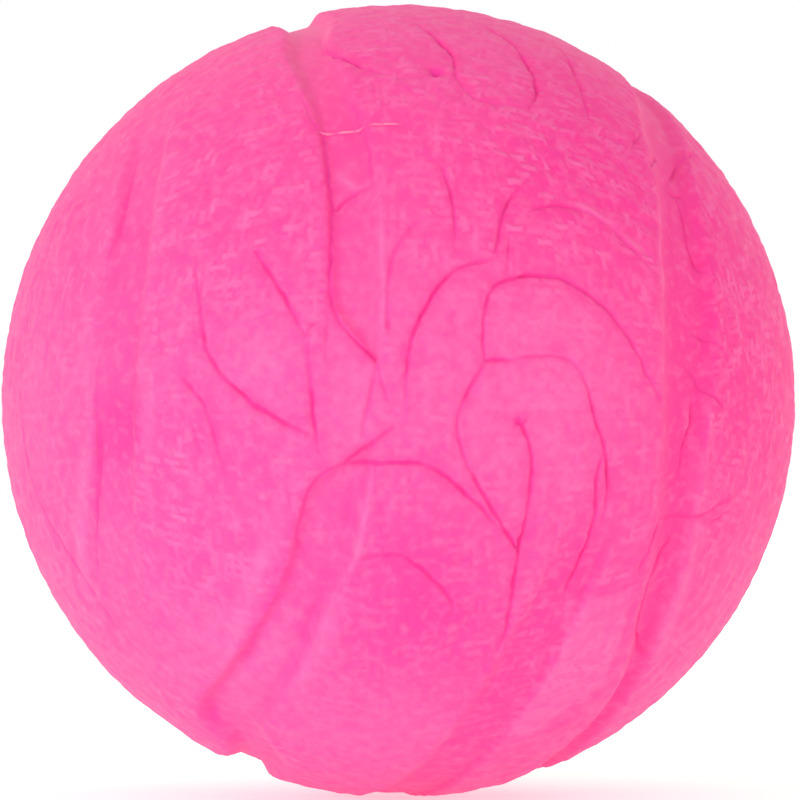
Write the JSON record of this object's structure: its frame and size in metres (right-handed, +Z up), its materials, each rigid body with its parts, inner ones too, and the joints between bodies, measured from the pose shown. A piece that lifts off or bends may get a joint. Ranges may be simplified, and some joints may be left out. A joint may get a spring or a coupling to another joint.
{
  "type": "scented dog ball",
  "caption": "Pink moulded rubber throw ball for dogs, with wide smooth channels round it, curled leaf creases on its panels and a scented foam core.",
  "frame": {"origin": "centre of the ball", "axes": "+Z up, +X to the right and -Y out of the front, as the picture shows the ball; the parting plane leans about X with its front edge up"},
  "size_m": [0.065, 0.065, 0.065],
  "materials": {
    "skin_rubber": "matte moulded rubber with a fine canvas grain on the panels and smooth channels",
    "bond_rubber": "matte, the same rubber as the skin and a little paler where it stands as flash",
    "core_foam": "open matte foam"
  },
  "bodies": {
    "root": {"upper_half_skin": "skin_rubber", "lower_half_skin": "skin_rubber", "bond_line": "bond_rubber", "scented_core": "core_foam"}
  },
  "joints": []
}
